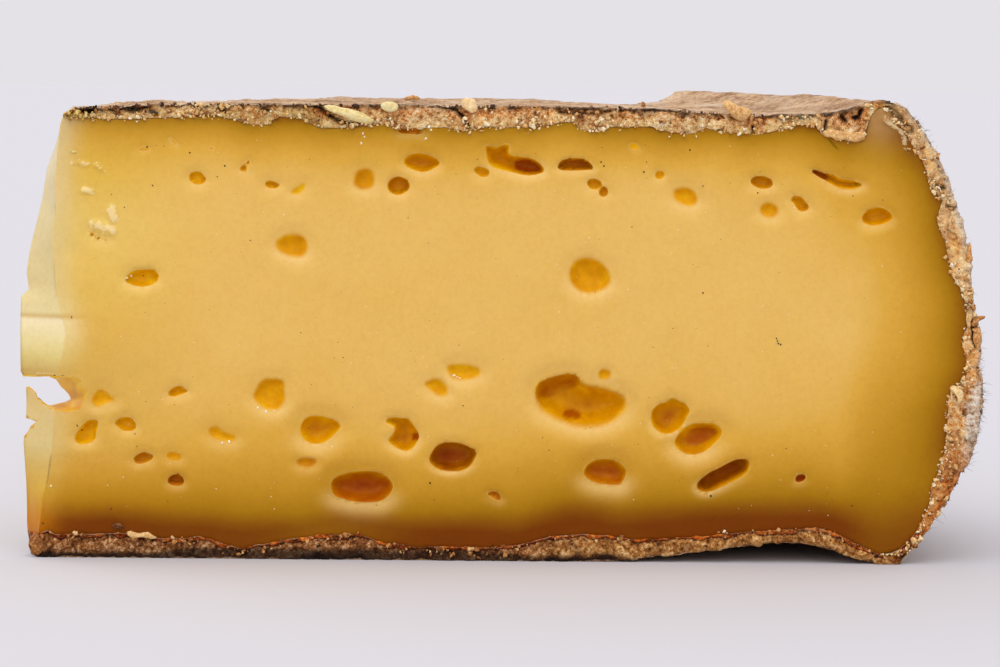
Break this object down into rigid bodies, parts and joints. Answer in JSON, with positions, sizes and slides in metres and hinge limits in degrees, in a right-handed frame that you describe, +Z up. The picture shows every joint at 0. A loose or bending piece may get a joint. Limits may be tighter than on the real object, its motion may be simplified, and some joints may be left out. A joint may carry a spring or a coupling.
{
  "type": "wedge of tomme cheese",
  "caption": "Wedge of pressed mountain cheese with a thick natural rind, a pointed end, a bulging heel and small eyes in its cut faces.",
  "frame": {"origin": "middle of the wedge's box, on the surface it stands on", "axes": "+X runs along the front cut from the point to the rinded heel, -Y is the front cut's outward direction, +Z is up"},
  "size_m": [0.1056, 0.0648, 0.0514],
  "materials": {
    "cheese_paste": "cut pressed cheese paste, waxy and slightly translucent, golden yellow",
    "natural_rind": "dry crumbly natural rind, tan to grey-brown with patches of grey mould"
  },
  "bodies": {
    "root": {"tomme_wedge": "cheese_paste"}
  },
  "joints": []
}
